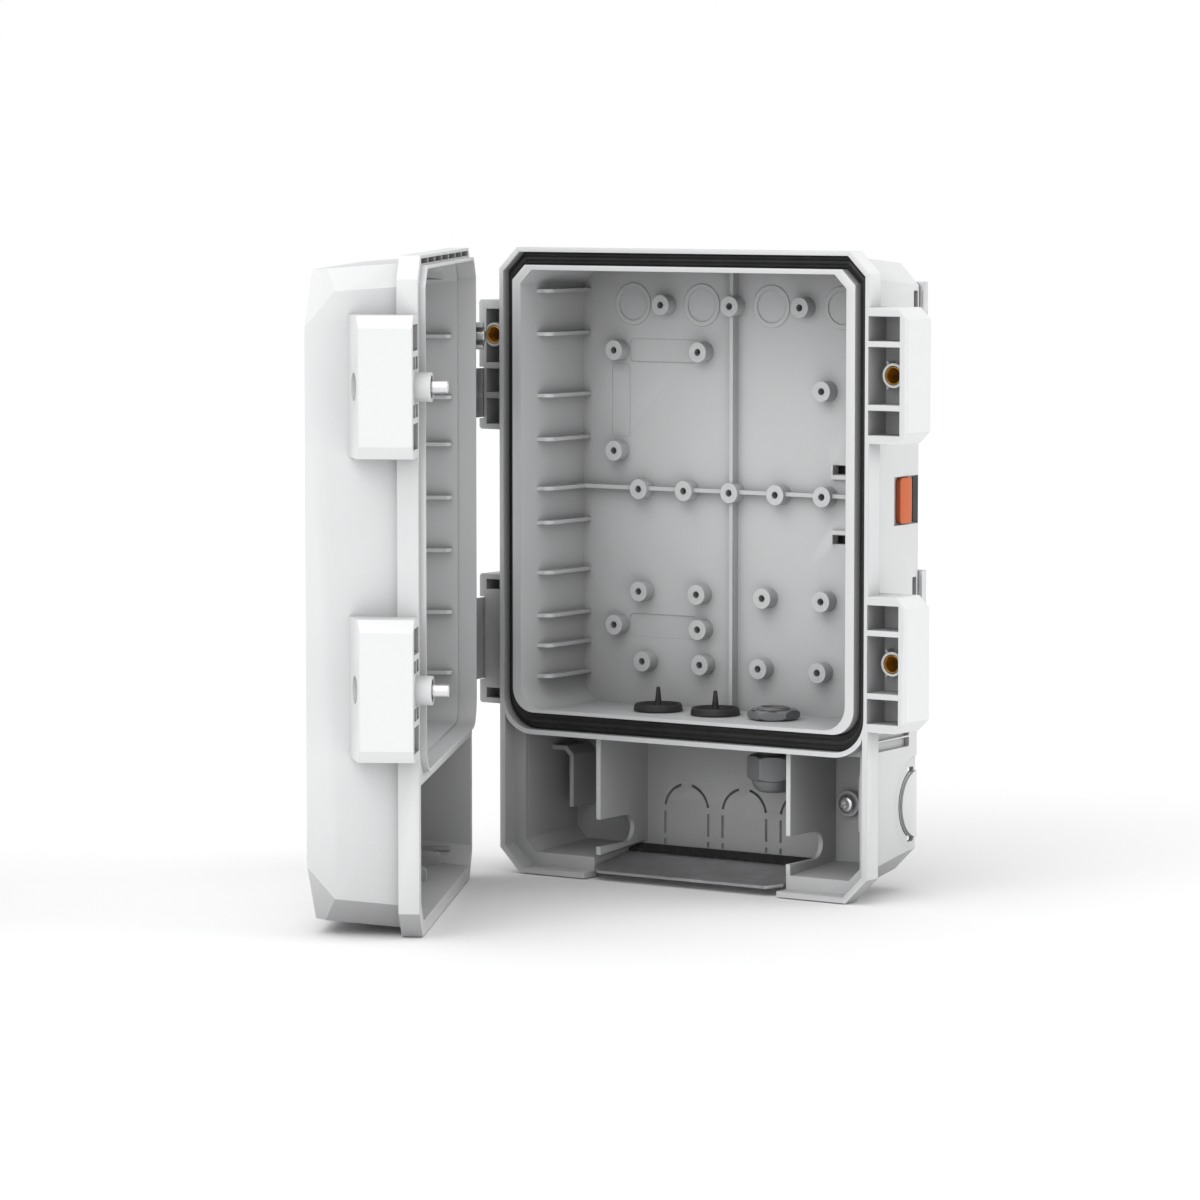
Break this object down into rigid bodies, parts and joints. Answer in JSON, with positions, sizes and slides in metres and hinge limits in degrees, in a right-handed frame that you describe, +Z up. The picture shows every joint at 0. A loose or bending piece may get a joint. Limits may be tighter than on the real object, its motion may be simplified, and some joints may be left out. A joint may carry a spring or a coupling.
{
  "type": "electrical junction box",
  "caption": "Wall-mounted moulded junction box with a side-hinged cover, captive cover screws, a gasketed upper compartment and a lower cable compartment.",
  "frame": {"origin": "on the wall plane at the middle of the wall bracket's back face, midway across the case and midway up its rim", "axes": "+Y into the wall, -Y out of the case's mouth, +Z up, +X to the right when facing the open box"},
  "size_m": [0.2751, 0.2969, 0.3054],
  "materials": {
    "light_grey_plastic": "fine moulded grain, satin",
    "grey_nylon": "smooth moulded",
    "black_rubber": "matt",
    "black_plastic": "satin",
    "orange_plastic": "satin",
    "brass": "machined",
    "steel": "zinc plated",
    "coated_steel": "satin coated"
  },
  "bodies": {
    "case": {"base_shell": "light_grey_plastic", "wall_bracket": "coated_steel", "gasket": "black_rubber", "brass_insert_upper_right": "brass", "brass_insert_lower_right": "brass", "brass_insert_upper_left": "brass", "hinge_leaf_upper": "steel", "hinge_leaf_lower": "steel", "hinge_pin_upper": "steel", "hinge_pin_lower": "steel", "blanking_plug_left": "black_rubber", "blanking_plug_middle": "black_rubber", "gland_body": "grey_nylon", "gland_locknut": "grey_nylon", "gland_insert": "black_rubber", "mounting_screw_left": "steel", "mounting_screw_right": "steel", "position_plate": "black_plastic", "entry_foam": "black_rubber"},
    "cover": {"cover_shell": "light_grey_plastic"},
    "clip_upper_right": {"screw_clip_upper_right": "grey_nylon"},
    "screw_upper_right": {"cover_screw_upper_right": "steel"},
    "clip_lower_right": {"screw_clip_lower_right": "grey_nylon"},
    "screw_lower_right": {"cover_screw_lower_right": "steel"},
    "clip_upper_left": {"screw_clip_upper_left": "grey_nylon"},
    "screw_upper_left": {"cover_screw_upper_left": "steel"},
    "slider": {"lock_slider": "orange_plastic"},
    "dome_nut": {"gland_dome_nut": "grey_nylon"},
    "plate": {"entry_plate": "steel"}
  },
  "joints": [
    {"name": "cover_hinge", "type": "hinge", "parent": "case", "child": "cover", "pos_m": [-0.1229, -0.072, 0], "axis": [0, 0, -1], "range_deg": [-60.8, 119.2]},
    {"name": "screw_upper_right_feed", "type": "slide", "parent": "cover", "child": "clip_upper_right", "axis": [0.8729, 0.4879, 0], "range_m": [-0.006, 0.0027]},
    {"name": "screw_upper_right_turn", "type": "hinge", "parent": "clip_upper_right", "child": "screw_upper_right", "pos_m": [-0.00059, -0.27446, 0.09518], "axis": [0.8729, 0.4879, 0], "continuous": true},
    {"name": "screw_lower_right_feed", "type": "slide", "parent": "cover", "child": "clip_lower_right", "axis": [0.8729, 0.4879, 0], "range_m": [-0.006, 0.0027]},
    {"name": "screw_lower_right_turn", "type": "hinge", "parent": "clip_lower_right", "child": "screw_lower_right", "pos_m": [-0.00059, -0.27446, -0.0393], "axis": [0.8729, 0.4879, 0], "continuous": true},
    {"name": "screw_upper_left_feed", "type": "slide", "parent": "cover", "child": "clip_upper_left", "axis": [0.8729, 0.4879, 0], "range_m": [0, 0.007]},
    {"name": "screw_upper_left_turn", "type": "hinge", "parent": "clip_upper_left", "child": "screw_upper_left", "pos_m": [-0.11133, -0.0763, 0.1098], "axis": [0.8729, 0.4879, 0], "continuous": true},
    {"name": "slider_slide", "type": "slide", "parent": "case", "child": "slider", "axis": [0, -1, 0], "range_m": [0, 0.005]},
    {"name": "dome_nut_turn", "type": "hinge", "parent": "case", "child": "dome_nut", "pos_m": [0.0362, -0.037, -0.0977], "axis": [0, 0, 1], "continuous": true},
    {"name": "entry_plate_slide", "type": "slide", "parent": "case", "child": "plate", "axis": [0, -0.9903, -0.1392], "range_m": [0, 0.03]}
  ]
}
